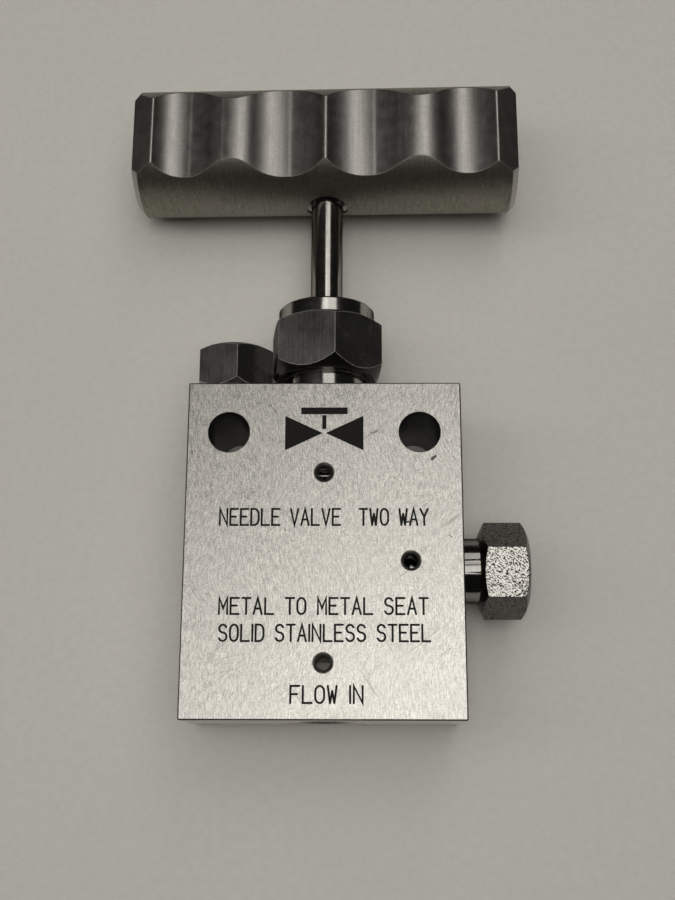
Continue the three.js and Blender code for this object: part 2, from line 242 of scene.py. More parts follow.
def hex_prism(name, corner, turn, start, end):
    """A hexagon along +Y. turn is the angle of one corner from +Z towards +X, in degrees."""
    angles = [math.radians(turn + 60 * k) for k in range(6)]
    points = []
    for along in (start, end):
        points += [(corner * math.sin(a), along, corner * math.cos(a)) for a in angles]
    sides = [[k, (k + 1) % 6, (k + 1) % 6 + 6, k + 6] for k in range(6)]
    return mesh_object(name, points, [list(range(6)), list(range(6, 12))] + sides)


def chamfered_hex(name, corner, turn, low, high):
    """A hexagon whose corners are turned off by a cone at each end.

    low and high are (radius of the end face, its place, place where the cone meets the corners).
    """
    reach = 1.0

    def cone(face, at, corner_at):
        return corner + reach, corner_at + (corner_at - at) / (corner - face) * reach

    envelope = lathe(
        name + "_envelope",
        [(0, low[1]), (low[0], low[1]), cone(*low), cone(*high), (high[0], high[1]), (0, high[1])],
    )
    prism = hex_prism(name, corner, turn, low[1] - reach, high[1] + reach)
    return combine(prism, [envelope], "INTERSECT")


# ---- materials

class Nodes:
    """A short way to write a material's node graph, in millimetres."""

    def __init__(self, name):
        self.material = bpy.data.materials.new(name)
        self.material.use_nodes = True
        self.tree = self.material.node_tree
        self.shader = self.tree.nodes["Principled BSDF"]
        coordinates = self.tree.nodes.new("ShaderNodeTexCoord")
        self.millimetres = self.scaled(coordinates.outputs["Object"], (1 / MM, 1 / MM, 1 / MM))

    def put(self, socket, value):
        if isinstance(value, bpy.types.NodeSocket):
            self.tree.links.new(value, socket)
        else:
            socket.default_value = value

    def add(self, kind, inputs, **settings):
        """The outputs of a new node. Each of its inputs is a plain value or another node's output."""
        node = self.tree.nodes.new("ShaderNode" + kind)
        for name, value in settings.items():
            setattr(node, name, value)
        for name, value in inputs.items():
            self.put(node.inputs[name], value)
        return node.outputs

    def scaled(self, vector, scale, turn=(0, 0, 0), shift=(0, 0, 0)):
        turn = [math.radians(angle) for angle in turn]
        inputs = {"Vector": vector, "Scale": scale, "Rotation": turn, "Location": shift}
        return self.add("Mapping", inputs)["Vector"]

    def leaning(self, angle, scale, shift=(0, 0, 0)):
        """Millimetre coordinates turned in the front face's plane first and then scaled."""
        turned = self.scaled(self.millimetres, (1, 1, 1), turn=(0, 0, -angle))
        return self.scaled(turned, scale, shift=shift)

    def noise(self, vector=None, stretch=None, scale=1.0, detail=4.0, roughness=0.55):
        """Noise over a vector, or over the millimetre coordinates, stretched or as they are."""
        if vector is None:
            vector = self.scaled(self.millimetres, stretch) if stretch else self.millimetres
        inputs = {"Vector": vector, "Scale": scale, "Detail": detail, "Roughness": roughness}
        return self.add("TexNoise", inputs)["Fac"]

    def math(self, operation, a, b=0.0, clamp=False):
        return self.add("Math", {0: a, 1: b}, operation=operation, use_clamp=clamp)[0]

    def plus(self, a, b, clamp=False):
        return self.math("ADD", a, b, clamp)

    def times(self, a, b):
        return self.math("MULTIPLY", a, b)

    def larger(self, a, b):
        return self.math("MAXIMUM", a, b)

    def vector_math(self, operation, a, b=(0, 0, 0), output="Vector"):
        return self.add("VectorMath", {0: a, 1: b}, operation=operation)[output]

    def parts(self, vector):
        return self.add("SeparateXYZ", {0: vector})

    def ramp(self, value, low, high, out_low=0.0, out_high=1.0):
        """value between low and high, spread over out_low to out_high."""
        inputs = {"Value": value, "From Min": low, "From Max": high, "To Min": out_low, "To Max": out_high}
        return self.add("MapRange", inputs, clamp=True)["Result"]

    def mix(self, share, a, b):
        return self.add("Mix", {0: share, 6: a, 7: b}, data_type="RGBA", clamp_factor=True)[2]

    def tint(self, value, low, high, below, above, share=1.0):
        """A colour that goes from below to above, or a share of the way, as value goes from low to high."""
        return self.mix(self.ramp(value, low, high, 0.0, share), below, above)

    def bump(self, height, distance_mm, strength=1.0):
        inputs = {"Strength": strength, "Distance": distance_mm * MM, "Height": height}
        return self.add("Bump", inputs)["Normal"]

    def finish(self, color, roughness, normal, metallic=1.0, edge_tint=1.0):
        inputs = {
            "Specular Tint": (edge_tint, edge_tint, edge_tint, 1),
            "Base Color": color,
            "Roughness": roughness,
            "Metallic": metallic,
            "Normal": normal,
        }
        for name, value in inputs.items():
            self.put(self.shader.inputs[name], value)
        return self.material


def grey(value, warmth=0.0):
    """A steel colour: a grey with its red raised and its blue lowered by the warmth."""
    return (value * (1 + warmth), value, value * (1 - 1.6 * warmth), 1)


def scratches(nodes, angle, density, seed):
    """Fine scratches that all run one way in the face's plane: 1 on a scratch, 0 elsewhere."""
    along = nodes.leaning(angle, (0.05, 2.6, 0.6), (seed, seed * 2.3, 0))
    lines = nodes.noise(along, scale=1.0, detail=1.5, roughness=0.4)
    wide = nodes.scaled(nodes.millimetres, (0.07, 0.07, 0.07), shift=(seed, 0, 0))
    patches = nodes.noise(wide, detail=1.0)
    cut = nodes.ramp(lines, density, density + 0.035)
    return nodes.times(cut, nodes.ramp(patches, 0.45, 0.6))


def scuff(nodes, x, y, length, width, angle):
    """A dark rub mark of a given place and size on the front face: 1 in the middle of it."""
    place = nodes.vector_math("SUBTRACT", nodes.millimetres, (x, y, FACE_Z))
    turned = nodes.scaled(place, (1, 1, 1), turn=(0, 0, -angle))
    local = nodes.scaled(turned, (1 / length, 1 / width, 0.5 / width))
    shape = nodes.ramp(nodes.vector_math("LENGTH", local, output="Value"), 0.25, 1.0, 1.0, 0.0)
    grit = nodes.noise(scale=3.4, detail=3.0)
    return nodes.ramp(nodes.times(shape, grit), 0.26, 0.42)


def scored_line(nodes, start, end, width):
    """One broken scratch between two places on the front face: 1 along its middle."""
    (x0, y0), (x1, y1) = start, end
    length = math.hypot(x1 - x0, y1 - y0)
    angle = math.degrees(math.atan2(y1 - y0, x1 - x0))
    place = nodes.vector_math("SUBTRACT", nodes.millimetres, ((x0 + x1) / 2, (y0 + y1) / 2, FACE_Z))
    local = nodes.scaled(place, (1, 1, 1), turn=(0, 0, -angle))
    past, off, below = [nodes.math("ABSOLUTE", part) for part in nodes.parts(local)]
    thin = nodes.ramp(off, 0.2 * width, width, 1.0, 0.0)
    ends = nodes.ramp(past, 0.38 * length, 0.5 * length, 1.0, 0.0)
    level = nodes.ramp(below, 0.2, 0.5, 1.0, 0.0)
    broken = nodes.ramp(nodes.noise(scale=0.9, detail=4.0, roughness=0.7), 0.42, 0.54)
    return nodes.times(nodes.times(thin, ends), nodes.times(level, broken))


# Dark rub marks on the front face: x, y, length and width from the middle, and angle in degrees.
RUBS = (
    (26.1, 21.2, 1.9, 0.8, 42),
    (20.1, 5.6, 2.2, 0.55, 4),
    (12.4, 27.6, 1.3, 0.28, 32),
    (11.3, 27.4, 0.9, 0.25, -35),
    (29.8, 2.2, 1.0, 0.25, -38),
    (18.6, 2.3, 0.4, 0.2, 0),
    (-7.4, 1.1, 1.0, 0.2, -38),
    (-9.1, 3.7, 0.7, 0.22, -50),
    (16.6, 16.4, 0.9, 0.22, -54),
    (-31.6, 22.5, 0.3, 0.9, 0),
)


# Single scratches on the front face: start, end and half width.
DARK_SCORES = (
    ((-16.1, 38.4), (-10.9, 31.6), 0.28),
    ((-2.9, 21.9), (-1.4, 19.9), 0.2),
    ((-23.5, 13.8), (-14.4, 9.7), 0.16),
)
PALE_SCORE = ((10.5, 26.5), (28.0, 2.2), 0.3)


def block_steel():
    """Bright ground stainless: wavy grain along the block, fine mottling, scratches and rub marks, and
    painted light that makes the face lighter towards the bottom and the right.
    """
    nodes = Nodes("block_steel")
    sway = nodes.noise(stretch=(0.6, 1.0, 1.0), scale=0.04, detail=1.0)
    bend = nodes.add("CombineXYZ", {"X": nodes.ramp(sway, 0.3, 0.7, -2.6, 2.6)})[0]
    swayed = nodes.vector_math("ADD", nodes.millimetres, bend)
    grain = nodes.noise(nodes.scaled(swayed, (3.4, 0.45, 1.2)), detail=5.0, roughness=0.75)
    mottle = nodes.noise(scale=4.2, detail=3.0, roughness=0.8)
    cloud = nodes.noise(scale=0.075, detail=3.0)
    texture = nodes.plus(nodes.times(grain, 0.5), nodes.times(mottle, 0.5))
    marks = nodes.larger(scratches(nodes, 38, 0.66, 3.0), scratches(nodes, -57, 0.665, 8.0))
    marks = nodes.larger(marks, scratches(nodes, 12, 0.68, 15.0))
    rubs = scuff(nodes, *RUBS[0])
    for rub in RUBS[1:]:
        rubs = nodes.larger(rubs, scuff(nodes, *rub))
    first, second, third = [scored_line(nodes, *line) for line in DARK_SCORES]
    score = nodes.larger(nodes.larger(first, second), third)
    pale = scored_line(nodes, *PALE_SCORE)
    shade = nodes.ramp(texture, 0.40, 0.60)
    across, along, _ = nodes.parts(nodes.millimetres)
    # Painted light: the face goes from a shaded tone (dull) at the top and left to a lit tone (bright) at
    # the bottom and right, as the light falls on it.
    down = nodes.ramp(along, 38.0, -38.0, 0.0, 0.85)
    painted_light_ramp = nodes.plus(down, nodes.ramp(across, -30.0, 15.0, -0.05, 0.25), clamp=True)
    dull = nodes.mix(shade, grey(0.10, 0.018), grey(0.74, 0.03))
    bright = nodes.mix(shade, grey(0.52, 0.026), grey(1.0, 0.036))
    color = nodes.mix(painted_light_ramp, dull, bright)
    color = nodes.tint(cloud, 0.35, 0.65, color, grey(0.62, 0.03), 0.25)
    color = nodes.mix(nodes.times(marks, 0.45), color, grey(0.30, 0.02))
    color = nodes.mix(nodes.times(score, 0.6), color, grey(0.10, 0.02))
    color = nodes.mix(nodes.times(pale, 0.45), color, grey(0.80, 0.03))
    color = nodes.mix(nodes.times(rubs, 0.9), color, grey(0.03, 0.02))
    roughness = nodes.plus(nodes.ramp(texture, 0.3, 0.7, 0.46, 0.34), nodes.times(marks, 0.08))
    height = nodes.math("SUBTRACT", texture, nodes.times(marks, 0.25))
    return nodes.finish(color, roughness, nodes.bump(height, 0.030, 0.8))


def turned_steel(name, value, roughness, lines, axis, depth=0.006, edge_tint=1.0, contrast=0.12):
    """Machined steel with fine tool lines.

    lines is how many per millimetre and axis the way they step. edge_tint is how bright the metal stays
    when light glances off it, and contrast how much the lines vary in colour.
    """
    nodes = Nodes(name)
    scale = [0.12, 0.12, 0.12]
    scale["XYZ".index(axis)] = lines
    tooling = nodes.noise(stretch=scale, detail=3.0, roughness=0.6)
    stain = nodes.noise(scale=0.16, detail=4.0, roughness=0.6)
    speck = nodes.noise(scale=2.4, detail=2.0)
    groove, land = grey(value * (1 - contrast), 0.02), grey(value * (1 + contrast), 0.03)
    color = nodes.tint(tooling, 0.35, 0.65, groove, land)
    color = nodes.tint(stain, 0.45, 0.7, color, grey(value * 0.72, 0.05), 0.35)
    color = nodes.tint(speck, 0.70, 0.78, color, grey(value * 0.3, 0.02), 0.5)
    rough = nodes.plus(nodes.ramp(stain, 0.3, 0.7, roughness - 0.04, roughness + 0.05),
                       nodes.ramp(tooling, 0.3, 0.7, -0.03, 0.03))
    return nodes.finish(color, rough, nodes.bump(tooling, depth, 0.7), edge_tint=edge_tint)


def painted_edge_highlight():
    """Painted highlight on the rounded corners of the hexagons: pale and hardly metallic, scattering light
    more than the faces beside them, so the corners show as bright lines.
    """
    nodes = Nodes("painted_edge_highlight_steel")
    # rub varies the painted highlight along the corners, paler and brighter by turns.
    rub = nodes.noise(scale=1.1, detail=3.0)
    color = nodes.tint(rub, 0.35, 0.55, grey(0.62, 0.02), grey(0.95, 0.02))
    return nodes.finish(color, 0.5, nodes.bump(rub, 0.002), metallic=0.15)


def milled_steel():
    """The scallops: satin, with fine cutter lines across the bar and a broken, speckled sheen."""
    nodes = Nodes("scallop_steel")
    across = nodes.noise(stretch=(0.9, 4.2, 4.2), detail=4.0, roughness=0.62)
    along = nodes.noise(stretch=(3.2, 0.07, 0.5), detail=3.0, roughness=0.55)
    sheen = nodes.noise(scale=0.35, detail=4.0, roughness=0.6)
    speck = nodes.noise(scale=1.7, detail=2.0)
    texture = nodes.plus(nodes.times(across, 0.6), nodes.times(along, 0.4))
    color = nodes.tint(texture, 0.38, 0.62, grey(0.36, 0.03), grey(0.50, 0.035))
    color = nodes.tint(speck, 0.72, 0.78, color, grey(0.10, 0.02), 0.6)
    rough = nodes.ramp(sheen, 0.3, 0.7, 0.29, 0.37)
    return nodes.finish(color, rough, nodes.bump(texture, 0.016, 0.8))


def rolled_steel():
    """The round of the bar: dull and dark, with turning lines round it and a fine mottle."""
    nodes = Nodes("round_bar_steel")
    lines = nodes.noise(stretch=(3.4, 0.22, 0.22), detail=4.0, roughness=0.6)
    mottle = nodes.noise(scale=1.6, detail=5.0, roughness=0.7)
    stain = nodes.noise(scale=0.12, detail=3.0)
    texture = nodes.plus(nodes.times(lines, 0.45), nodes.times(mottle, 0.55))
    color = nodes.tint(texture, 0.36, 0.64, (0.17, 0.165, 0.135, 1), (0.36, 0.35, 0.30, 1))
    color = nodes.tint(stain, 0.45, 0.65, color, (0.29, 0.27, 0.25, 1), 0.4)
    return nodes.finish(color, nodes.ramp(texture, 0.3, 0.7, 0.5, 0.4), nodes.bump(texture, 0.03, 0.8))


def pitted_steel(name, value):
    """Hexagon bar left as rolled: even, with many small deep pits. value is how bright the metal is: below 1
    it makes a darker copy that stands for painted shade.
    """
    nodes = Nodes(name)
    pits = nodes.noise(nodes.leaning(-40, (1.9, 3.6, 2.6)), detail=1.5, roughness=0.6)
    fine = nodes.noise(scale=5.0, detail=3.0, roughness=0.65)
    color = nodes.tint(fine, 0.35, 0.65, grey(0.44 * value, 0.03), grey(0.62 * value, 0.03))
    color = nodes.tint(pits, 0.50, 0.56, color, grey(0.03 * value, 0.02))
    height = nodes.math("SUBTRACT", nodes.times(fine, 0.15), nodes.ramp(pits, 0.50, 0.60))
    return nodes.finish(color, nodes.ramp(fine, 0.3, 0.7, 0.24, 0.32), nodes.bump(height, 0.02, 0.4))


def etched_steel():
    """The bottom of the engraved marking: dark and matt."""
    nodes = Nodes("etched_steel")
    burn = nodes.noise(stretch=(3.0, 9.0, 3.0), detail=3.0)
    color = nodes.tint(burn, 0.35, 0.75, grey(0.006, 0.05), grey(0.024, 0.05))
    return nodes.finish(color, 0.6, nodes.bump(burn, 0.02), metallic=0.7)


def black_oxide():
    nodes = Nodes("black_oxide_steel")
    wear = nodes.noise(scale=1.2, detail=4.0)
    color = nodes.tint(wear, 0.55, 0.75, grey(0.035), grey(0.16))
    return nodes.finish(color, nodes.ramp(wear, 0.3, 0.7, 0.5, 0.35), nodes.bump(wear, 0.01), metallic=0.9)


def turned_bronze():
    nodes = Nodes("bronze")
    tooling = nodes.noise(stretch=(0.3, 9.0, 0.3), detail=3.0)
    tarnish = nodes.noise(scale=0.7, detail=4.0)
    color = nodes.tint(tarnish, 0.4, 0.7, (0.62, 0.40, 0.17, 1), (0.36, 0.21, 0.09, 1))
    return nodes.finish(color, nodes.ramp(tarnish, 0.3, 0.7, 0.26, 0.42), nodes.bump(tooling, 0.01))


def packing_plastic():
    nodes = Nodes("packing_plastic")
    fleck = nodes.noise(scale=2.2, detail=3.0)
    color = nodes.tint(fleck, 0.45, 0.7, (0.86, 0.84, 0.78, 1), (0.70, 0.67, 0.60, 1))
    return nodes.finish(color, nodes.ramp(fleck, 0.3, 0.7, 0.45, 0.6), nodes.bump(fleck, 0.02), metallic=0.0)


MATERIALS = {
    "block": block_steel(),
    "scallop": milled_steel(),
    "round_bar": rolled_steel(),
    "end_face": turned_steel("end_face_steel", 0.42, 0.30, 4.0, "Z", 0.006),
    "gland": turned_steel("gland_steel", 0.41, 0.24, 5.0, "X", 0.0004, 0.1, contrast=0.015),
    # Painted highlight on the hexagons' rounded corners.
    "painted_edge_highlight": painted_edge_highlight(),
    "polished": turned_steel("polished_steel", 0.44, 0.15, 7.0, "Y", 0.002, 0.1),
    "outlet_polished": turned_steel("outlet_polished_steel", 0.30, 0.08, 7.0, "X", 0.001, 0.15),
    # Painted shade: a very dark steel for the weep holes' bores and the cone under the gland's hexagon.
    "painted_recess_shade": turned_steel("painted_recess_shade_steel", 0.10, 0.30, 5.0, "Y", 0.004),
    # Painted shade: a very dark steel for the mounting holes, the handle's rod socket and the block's
    # rounded edges.
    "painted_shade": turned_steel("painted_shade_steel", 0.10, 0.35, 2.0, "Z", 0.006),
    "pitted": pitted_steel("pitted_steel", 1.0),
    # Painted shade: a darker copy of the pitted steel for the outlet hexagon's side facets.
    "pitted_painted_shade": pitted_steel("pitted_painted_shade_steel", 0.30),
    "etched": etched_steel(),
    "black": black_oxide(),
    "bronze": turned_bronze(),
    "plastic": packing_plastic(),
}


def paint(obj, material):
    obj.data.materials.clear()
    obj.data.materials.append(MATERIALS[material])
    return obj


def paint_where(obj, material, test):
    """Gives a second material to the faces whose centre and normal pass the test, both in millimetres."""
    obj.data.materials.append(MATERIALS[material])
    index = len(obj.data.materials) - 1
    for polygon in obj.data.polygons:
        if test(polygon.center / MM, polygon.normal):
            polygon.material_index = index


def piece(obj, node, body, material=None):
    """Makes obj a finished piece that stands for a CAD node."""
    if material:
        paint(obj, material)
    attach(obj, body)
    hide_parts(node)
    return obj


# ---- the block

PORT_THREAD = 9.0
PORT_PITCH = 1.5875
PORT_DEPTH = 14.8
CONE_MOUTH = 6.3
CONE_DEPTH = 8.14
PASSAGE = 1.6
OVERSHOOT = 1.0
MOUNT_HOLE_X, MOUNT_HOLE_Y, MOUNT_HOLE = 22.9, 27.55, 5.0
GLAND_BORE, GLAND_FLOOR, PACKING_BORE, PACKING_FLOOR = 10.3, 16.0, 7.0, 2.0
SEAT_BORE, SEAT_FLOOR = 5.4, -12.8


def rounded_block(radius=0.4, steps=4):
    half_x = (BLOCK_HIGH.x - BLOCK_LOW.x) / 2
    half_y = (BLOCK_HIGH.y - BLOCK_LOW.y) / 2
    outline = []
    for quarter in range(4):
        corner_x = (half_x - radius) * (1 if quarter in (0, 3) else -1)
        corner_y = (half_y - radius) * (1 if quarter in (0, 1) else -1)
        for step in range(steps + 1):
            angle = math.pi / 2 * (quarter + step / steps)
            outline.append((corner_x + radius * math.cos(angle), corner_y + radius * math.sin(angle)))
    count = len(outline)
    points = [(x, y, BLOCK_LOW.z) for x, y in outline] + [(x, y, BLOCK_HIGH.z) for x, y in outline]
    sides = [[k, (k + 1) % count, (k + 1) % count + count, k + count] for k in range(count)]
    return mesh_object("block", points, [list(range(count)), list(range(count, 2 * count))] + sides)


def port_rows(mouth, inward):
    """A cone-and-thread port's profile from outside the face to the passage.

    inward is -1 or +1, the way in along the axis.
    """
    chamfer = 0.6
    floor = mouth + inward * PORT_DEPTH
    thread = thread_rows(
        PORT_THREAD + 0.35, mouth + inward * (chamfer + 0.1), floor - inward * 3.2, PORT_PITCH, 0.7)
    return [
        (0, mouth - inward * OVERSHOOT),
        (PORT_THREAD + chamfer + 0.3, mouth - inward * OVERSHOOT),
        (PORT_THREAD + chamfer + 0.3, mouth), *thread,
        (PORT_THREAD + 0.4, floor - inward * 2.8), (PORT_THREAD + 0.4, floor),
        (CONE_MOUTH, floor), (PASSAGE, floor + inward * CONE_DEPTH),
    ]


WEEP_HOLES = ((0, 17.6), (20.45, OUTLET_Y), (0, -27.15))
WEEP_RIM = 2.35
WEEP_BORE = 1.6
WEEP_FLOOR = STEM_Z + 4


def block_cutters():
    inlet = port_rows(BLOCK_LOW.y, 1)
    inlet_cutter = on_stem(lathe("inlet_cut", inlet + [(PASSAGE, -12.0), (0, -12.0)], pitch=PORT_PITCH))
    outlet = port_rows(BLOCK_HIGH.x, -1)
    outlet_cutter = on_outlet(lathe("outlet_cut", outlet + [(PASSAGE, 4.5), (0, 4.5)], pitch=PORT_PITCH))
    stem_cutter = on_stem(lathe("stem_cut", [
        (0, BLOCK_TOP + OVERSHOOT), (GLAND_BORE + 0.6 + OVERSHOOT, BLOCK_TOP + OVERSHOOT),
        (GLAND_BORE, BLOCK_TOP - 0.6), (GLAND_BORE, GLAND_FLOOR), (PACKING_BORE, GLAND_FLOOR),
        (PACKING_BORE, PACKING_FLOOR), (SEAT_BORE, PACKING_FLOOR), (SEAT_BORE, SEAT_FLOOR),
        (0, SEAT_FLOOR),
    ]))
    lock_cutter = on_stem(lathe("lock_cut", [
        (0, BLOCK_TOP + OVERSHOOT), (5.9 + OVERSHOOT, BLOCK_TOP + OVERSHOOT),
        (5.2, BLOCK_TOP - 0.7), (5.2, BLOCK_TOP - 6), (0, BLOCK_TOP - 6),
    ], COARSE), LOCK_X)
    cutters = [inlet_cutter, outlet_cutter, stem_cutter, lock_cutter]
    mount_edge = 0.08
    for side in (-1, 1):
        cutters.append(on_front(lathe("mount_cut", [
            (0, BLOCK_LOW.z - OVERSHOOT),
            (MOUNT_HOLE + mount_edge + OVERSHOOT, BLOCK_LOW.z - OVERSHOOT),
            (MOUNT_HOLE, BLOCK_LOW.z + mount_edge), (MOUNT_HOLE, FACE_Z - mount_edge),
            (MOUNT_HOLE + mount_edge + OVERSHOOT, FACE_Z + OVERSHOOT), (0, FACE_Z + OVERSHOOT),
        ], COARSE), side * MOUNT_HOLE_X, MOUNT_HOLE_Y))
    for x, y in WEEP_HOLES:
        cutters.append(on_front(lathe("weep_cut", [
            (0, WEEP_FLOOR), (WEEP_BORE, WEEP_FLOOR), (WEEP_BORE, FACE_Z - 1.1),
            (WEEP_RIM - 0.12, FACE_Z - 0.25), (WEEP_RIM + OVERSHOOT, FACE_Z + OVERSHOOT),
            (0, FACE_Z + OVERSHOOT),
        ], COARSE), x, y))
    return cutters


# ---- the engraved marking

STROKE = 0.50
ENGRAVED = 0.16
LAYER_STEP = 0.004  # how much deeper each layer of strokes is cut, so that no two bottoms coincide


def bow(centre_x, centre_y, radius_x, radius_y, start, end, steps=7):
    """Points along part of an ellipse, with its angles in degrees."""
    angles = [math.radians(start + (end - start) * k / steps) for k in range(steps + 1)]
    return [(centre_x + radius_x * math.cos(a), centre_y + radius_y * math.sin(a)) for a in angles]


# Single-line capitals in a box 1 wide and 1 high. A stroke that ends where it starts is closed.
# Strokes of one letter that touch each other stand next to each other, so they fall in different layers.
LETTERS = {
    "A": [[(0, 0), (0.5, 1), (1, 0)], [(0.2, 0.34), (0.8, 0.34)]],
    "D": [
        [(0, 0), (0, 1), (0.45, 1)]
        + bow(0.45, 0.62, 0.55, 0.38, 75, 0)
        + bow(0.45, 0.38, 0.55, 0.38, 0, -75)
        + [(0.45, 0), (0, 0)]
    ],
    "E": [[(1, 1), (0, 1), (0, 0), (1, 0)], [(0, 0.52), (0.75, 0.52)]],
    "F": [[(1, 1), (0, 1), (0, 0)], [(0, 0.52), (0.75, 0.52)]],
    "I": [[(0.5, 0), (0.5, 1)]],
    "L": [[(0, 1), (0, 0), (1, 0)]],
    "M": [[(0, 0), (0, 1), (0.5, 0.35), (1, 1), (1, 0)]],
    "N": [[(0, 0), (0, 1), (1, 0), (1, 1)]],
    "O": [bow(0.5, 0.65, 0.5, 0.35, 0, 180, 12) + bow(0.5, 0.35, 0.5, 0.35, 180, 360, 12) + [(1, 0.65)]],
    "S": [bow(0.5, 0.76, 0.46, 0.24, 20, 250) + bow(0.5, 0.26, 0.5, 0.26, 70, -160)],
    "T": [[(0, 1), (1, 1)], [(0.5, 1), (0.5, 0)]],
    "V": [[(0, 1), (0.5, 0), (1, 1)]],
    "W": [[(0, 1), (0.25, 0)], [(0.25, 0), (0.5, 0.7)], [(0.5, 0.7), (0.75, 0)], [(0.75, 0), (1, 1)]],
    "Y": [[(0, 1), (0.5, 0.5), (1, 1)], [(0.5, 0.5), (0.5, 0)]],
}

# Plain words only: what the part is, its seat, its steel and the side the flow comes in.
# Each row has its words, its middle and base line, the height of its letters and its width.
ROWS = (
    ("NEEDLE VALVE  TWO WAY", 0.0, 4.85, 3.85, 49.0),
    ("METAL TO METAL SEAT", 0.0, -16.05, 3.7, 48.2),
    ("SOLID STAINLESS STEEL", 0.3, -22.25, 3.75, 48.6),
    ("FLOW IN", 0.85, -36.15, 3.8, 16.4),
)


def stroke_stations(points, half):
    """Left and right points along a stroke of a given half width, with mitred corners and round ends."""
    closed = points[0] == points[-1]
    path = [Vector(p) for p in points]
    if closed:
        path = path[:-1]
    count = len(path)
    stations = []
    for k, here in enumerate(path):
        before = path[(k - 1) % count] if closed or k else None
        after = path[(k + 1) % count] if closed or k < count - 1 else None
        way_in = (here - before).normalized() if before is not None else (after - here).normalized()
        way_out = (after - here).normalized() if after is not None else way_in
        side_in = Vector((-way_in.y, way_in.x))
        side_out = Vector((-way_out.y, way_out.x))
        mitre = (side_in + side_out).normalized()
        reach = half / max(0.3, mitre.dot(side_in))
        stations.append((here + mitre * reach, here - mitre * reach))
        if not closed and k in (0, count - 1):
            back = -way_out if k == 0 else way_in
            caps = []
            for angle in (30, 60, 82):
                centre = here + back * half * math.sin(math.radians(angle))
                width = side_in * half * math.cos(math.radians(angle))
                caps.append((centre + width, centre - width))
            stations = caps[::-1] + stations if k == 0 else stations + caps
    return stations, closed


def stroke_solid(points, faces, stations, closed, bottom, top):
    """Adds one stroke's closed solid to a mesh that is being gathered."""
    start = len(points)
    for left, right in stations:
        for side, z in ((left, bottom), (right, bottom), (right, top), (left, top)):
            points.append((side.x, side.y, z))
    count = len(stations)
    for k in range(count if closed else count - 1):
        a, b = start + 4 * k, start + 4 * ((k + 1) % count)
        for edge in range(4):
            following = (edge + 1) % 4
            faces.append([a + edge, a + following, b + following, b + edge])
    if not closed:
        last = start + 4 * (count - 1)
        faces.append([start, start + 1, start + 2, start + 3])
        faces.append([last, last + 1, last + 2, last + 3])


def marking_strokes():
    """Every stroke of the marking in millimetres, in two layers: strokes of one layer never touch."""
    layers = [[], []]
    space = 0.7
    for text, centre, base, height, width in ROWS:
        gap = 0.42
        widths = [0.0 if c == "I" else space if c == " " else 1.0 for c in text]
        total = sum(widths) + gap * (len(text) - 1)
        unit = width / total
        x = centre - width / 2
        for character, share in zip(text, widths):
            for layer, stroke in enumerate(LETTERS.get(character, [])):
                left = x - 0.5 * unit if character == "I" else x
                layers[layer % 2].append([(left + px * unit, base + py * height) for px, py in stroke])
            x += (share + gap) * unit
    return layers


def symbol_cutter():
    """A plain schematic valve symbol: two triangles tip to tip, with a stem and a hand bar."""
    x, y, half_width, half_height = 0.0, 27.3, 9.4, 4.3
    top = FACE_Z + OVERSHOOT
    bottom = FACE_Z - ENGRAVED
    shapes = [
        [(x - half_width, y - half_height), (x - 0.35, y), (x - half_width, y + half_height)],
        [(x + half_width, y - half_height), (x + half_width, y + half_height), (x + 0.35, y)],
        [(x - 0.5, y + 1.0), (x + 0.5, y + 1.0), (x + 0.5, y + 4.5), (x - 0.5, y + 4.5)],
        [(x - 5.6, y + 4.7), (x + 5.6, y + 4.7), (x + 5.6, y + 6.4), (x - 5.6, y + 6.4)],
    ]
    points, faces = [], []
    for outline in shapes:
        start, count = len(points), len(outline)
        points += [(px, py, bottom) for px, py in outline] + [(px, py, top) for px, py in outline]
        faces.append([start + k for k in range(count)])
        faces.append([start + count + k for k in range(count)])
        for k in range(count):
            following = (k + 1) % count
            faces.append([start + k, start + following, start + count + following, start + count + k])
    return paint(mesh_object("symbol_cut", points, faces), "etched")


def marking_cutters():
    cutters = []
    for number, strokes in enumerate(marking_strokes()):
        bottom = FACE_Z - ENGRAVED - LAYER_STEP * number
        points, faces = [], []
        for stroke in strokes:
            stations, closed = stroke_stations(stroke, STROKE / 2)
            stroke_solid(points, faces, stations, closed, bottom, FACE_Z + OVERSHOOT)
        cutters.append(paint(mesh_object("marking_cut", points, faces), "etched"))
    return [symbol_cutter(), combine(cutters[0], cutters[1:], "UNION")]


def make_block():
    block = rounded_block()
    paint(block, "block")
    bevel(block, 0.34, 3, 40)
    cutters = block_cutters()
    for cutter in cutters:
        # The walls of the mounting holes are painted dark: painted shade inside the holes.
        paint(cutter, "painted_shade" if cutter.name.startswith("mount_cut") else "block")
    combine(block, cutters, "DIFFERENCE")
    combine(block, marking_cutters(), "DIFFERENCE")
    smooth(block)

    def on_edge(centre, normal):
        low, high = BLOCK_LOW, BLOCK_HIGH
        near = [min(centre[k] - low[k], high[k] - centre[k]) < 0.36 for k in range(3)]
        return sum(near) >= 2 and max(abs(k) for k in normal) < 0.99

    def in_weep_hole(centre, _):
        if centre.z < WEEP_FLOOR - 0.1:
            return False
        return any(math.hypot(centre.x - x, centre.y - y) < WEEP_BORE + 0.05 for x, y in WEEP_HOLES)

    # Painted shade: the block's rounded edges are painted dark for their dark outline.
    paint_where(block, "painted_shade", on_edge)
    # The weep holes' bores are painted dark: painted shade inside them.
    paint_where(block, "painted_recess_shade", in_weep_hole)
    piece(block, "valve_body", "valve")


# ---- the handle

